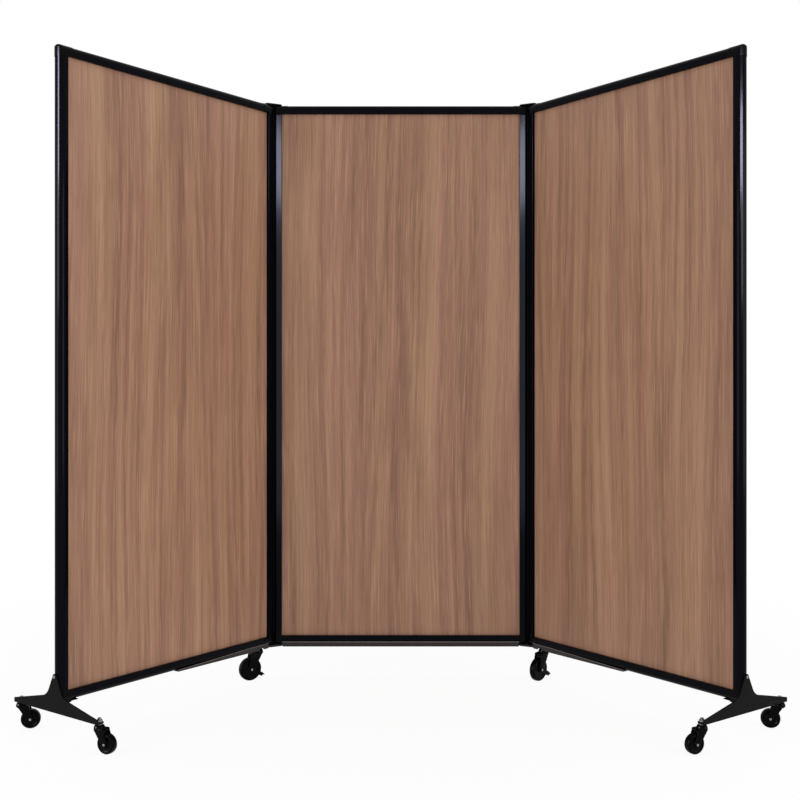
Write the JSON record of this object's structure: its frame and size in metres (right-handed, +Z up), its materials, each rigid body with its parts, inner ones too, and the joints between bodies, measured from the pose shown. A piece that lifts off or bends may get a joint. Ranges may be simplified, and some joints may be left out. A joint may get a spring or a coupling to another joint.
{
  "type": "folding privacy screen",
  "caption": "Folding privacy screen on casters: laminate boards in hollow black frames, joined by full-height link hinges, standing on T-feet and braked casters beside the hinges.",
  "frame": {"origin": "on the floor, under the middle of the bounding box", "axes": "+X to the right along the middle leaf as seen from the front, +Y back towards the middle leaf, +Z up"},
  "size_m": [2.1578, 0.819, 1.8863],
  "materials": {
    "laminate": "walnut-grain laminate, satin, grain upright",
    "frame": "glossy black coated extrusion",
    "moulding": "black moulded, semi-gloss",
    "strip": "flexible black strip, satin",
    "foot_steel": "charcoal powder coat, matte",
    "zinc": "zinc plated",
    "caster_nylon": "black moulded, satin",
    "tread": "smooth dark tread"
  },
  "bodies": {
    "middle_leaf": {"middle_panel": "laminate", "middle_left_stile": "frame", "middle_right_stile": "frame", "middle_top_rail": "frame", "middle_bottom_rail": "frame", "middle_cap_left_top": "moulding", "middle_cap_right_top": "moulding", "middle_cap_left_bottom": "moulding", "middle_cap_right_bottom": "moulding", "middle_sweep": "strip"},
    "left_hinge_link": {"left_hinge_top_link": "moulding", "left_hinge_bottom_link": "moulding", "left_hinge_seal": "strip"},
    "right_hinge_link": {"right_hinge_top_link": "moulding", "right_hinge_bottom_link": "moulding", "right_hinge_seal": "strip"},
    "left_wing": {"left_wing_panel": "laminate", "left_wing_hinge_stile": "frame", "left_wing_outer_stile": "frame", "left_wing_top_rail": "frame", "left_wing_bottom_rail": "frame", "left_wing_cap_hinge_top": "moulding", "left_wing_cap_outer_top": "moulding", "left_wing_cap_hinge_bottom": "moulding", "left_wing_cap_outer_bottom": "moulding", "left_wing_sweep": "strip", "left_foot": "foot_steel", "left_foot_screw": "zinc", "left_hinge_caster_stem": "zinc", "left_front_caster_stem": "zinc", "left_rear_caster_stem": "zinc"},
    "right_wing": {"right_wing_panel": "laminate", "right_wing_hinge_stile": "frame", "right_wing_outer_stile": "frame", "right_wing_top_rail": "frame", "right_wing_bottom_rail": "frame", "right_wing_cap_hinge_top": "moulding", "right_wing_cap_outer_top": "moulding", "right_wing_cap_hinge_bottom": "moulding", "right_wing_cap_outer_bottom": "moulding", "right_wing_sweep": "strip", "right_foot": "foot_steel", "right_foot_screw": "zinc", "right_hinge_caster_stem": "zinc", "right_front_caster_stem": "zinc", "right_rear_caster_stem": "zinc"},
    "left_hinge_swivel": {"left_hinge_caster_fork": "caster_nylon"},
    "left_hinge_wheel": {"left_hinge_caster_wheel": "tread"},
    "left_brake": {"left_hinge_brake_lever": "caster_nylon"},
    "left_front_swivel": {"left_front_caster_fork": "caster_nylon"},
    "left_front_wheel": {"left_front_caster_wheel": "tread"},
    "left_rear_swivel": {"left_rear_caster_fork": "caster_nylon"},
    "left_rear_wheel": {"left_rear_caster_wheel": "tread"},
    "right_hinge_swivel": {"right_hinge_caster_fork": "caster_nylon"},
    "right_hinge_wheel": {"right_hinge_caster_wheel": "tread"},
    "right_brake": {"right_hinge_brake_lever": "caster_nylon"},
    "right_front_swivel": {"right_front_caster_fork": "caster_nylon"},
    "right_front_wheel": {"right_front_caster_wheel": "tread"},
    "right_rear_swivel": {"right_rear_caster_fork": "caster_nylon"},
    "right_rear_wheel": {"right_rear_caster_wheel": "tread"}
  },
  "joints": [
    {"name": "left_link_fold", "type": "hinge", "parent": "middle_leaf", "child": "left_hinge_link", "pos_m": [-0.4055, 0.39251, 0], "axis": [0, 0, 1], "range_deg": [-101.7, 48.3]},
    {"name": "left_wing_fold", "type": "hinge", "parent": "left_hinge_link", "child": "left_wing", "pos_m": [-0.4373, 0.37651, 0], "axis": [0, 0, 1], "range_deg": [-101.7, 48.3]},
    {"name": "right_link_fold", "type": "hinge", "parent": "middle_leaf", "child": "right_hinge_link", "pos_m": [0.4055, 0.39251, 0], "axis": [0, 0, 1], "range_deg": [-48.3, 101.7]},
    {"name": "right_wing_fold", "type": "hinge", "parent": "right_hinge_link", "child": "right_wing", "pos_m": [0.4373, 0.37651, 0], "axis": [0, 0, 1], "range_deg": [-48.3, 101.7]},
    {"name": "left_hinge_swivel_turn", "type": "hinge", "parent": "left_wing", "child": "left_hinge_swivel", "pos_m": [-0.46592, 0.33798, 0.1], "axis": [0, 0, 1], "continuous": true},
    {"name": "left_hinge_wheel_roll", "type": "hinge", "parent": "left_hinge_swivel", "child": "left_hinge_wheel", "pos_m": [-0.48967, 0.32314, 0.0375], "axis": [0.5299, -0.848, 0], "continuous": true},
    {"name": "left_brake_tread", "type": "hinge", "parent": "left_hinge_swivel", "child": "left_brake", "pos_m": [-0.48967, 0.32314, 0.0375], "axis": [0.5299, -0.848, 0], "range_deg": [0, 22]},
    {"name": "left_front_swivel_turn", "type": "hinge", "parent": "left_wing", "child": "left_front_swivel", "pos_m": [-0.78752, -0.38019, 0.0735], "axis": [0, 0, 1], "continuous": true},
    {"name": "left_front_wheel_roll", "type": "hinge", "parent": "left_front_swivel", "child": "left_front_wheel", "pos_m": [-0.76468, -0.39036, 0.027], "axis": [0.4067, 0.9135, 0], "continuous": true},
    {"name": "left_rear_swivel_turn", "type": "hinge", "parent": "left_wing", "child": "left_rear_swivel", "pos_m": [-1.06048, -0.17747, 0.0735], "axis": [0, 0, 1], "continuous": true},
    {"name": "left_rear_wheel_roll", "type": "hinge", "parent": "left_rear_swivel", "child": "left_rear_wheel", "pos_m": [-1.03586, -0.17313, 0.027], "axis": [-0.1736, 0.9848, 0], "continuous": true},
    {"name": "right_hinge_swivel_turn", "type": "hinge", "parent": "right_wing", "child": "right_hinge_swivel", "pos_m": [0.46592, 0.33798, 0.1], "axis": [0, 0, 1], "continuous": true},
    {"name": "right_hinge_wheel_roll", "type": "hinge", "parent": "right_hinge_swivel", "child": "right_hinge_wheel", "pos_m": [0.44647, 0.31783, 0.0375], "axis": [0.7193, -0.6947, 0], "continuous": true},
    {"name": "right_brake_tread", "type": "hinge", "parent": "right_hinge_swivel", "child": "right_brake", "pos_m": [0.44647, 0.31783, 0.0375], "axis": [0.7193, -0.6947, 0], "range_deg": [0, 22]},
    {"name": "right_front_swivel_turn", "type": "hinge", "parent": "right_wing", "child": "right_front_swivel", "pos_m": [0.78752, -0.38019, 0.0735], "axis": [0, 0, 1], "continuous": true},
    {"name": "right_front_wheel_roll", "type": "hinge", "parent": "right_front_swivel", "child": "right_front_wheel", "pos_m": [0.76468, -0.39036, 0.027], "axis": [0.4067, -0.9135, 0], "continuous": true},
    {"name": "right_rear_swivel_turn", "type": "hinge", "parent": "right_wing", "child": "right_rear_swivel", "pos_m": [1.06048, -0.17747, 0.0735], "axis": [0, 0, 1], "continuous": true},
    {"name": "right_rear_wheel_roll", "type": "hinge", "parent": "right_rear_swivel", "child": "right_rear_wheel", "pos_m": [1.0367, -0.16975, 0.027], "axis": [-0.309, -0.9511, 0], "continuous": true}
  ],
  "couplings": [
    {"joint": "left_link_fold", "follows": "left_wing_fold", "ratio": 1},
    {"joint": "right_link_fold", "follows": "right_wing_fold", "ratio": 1}
  ]
}
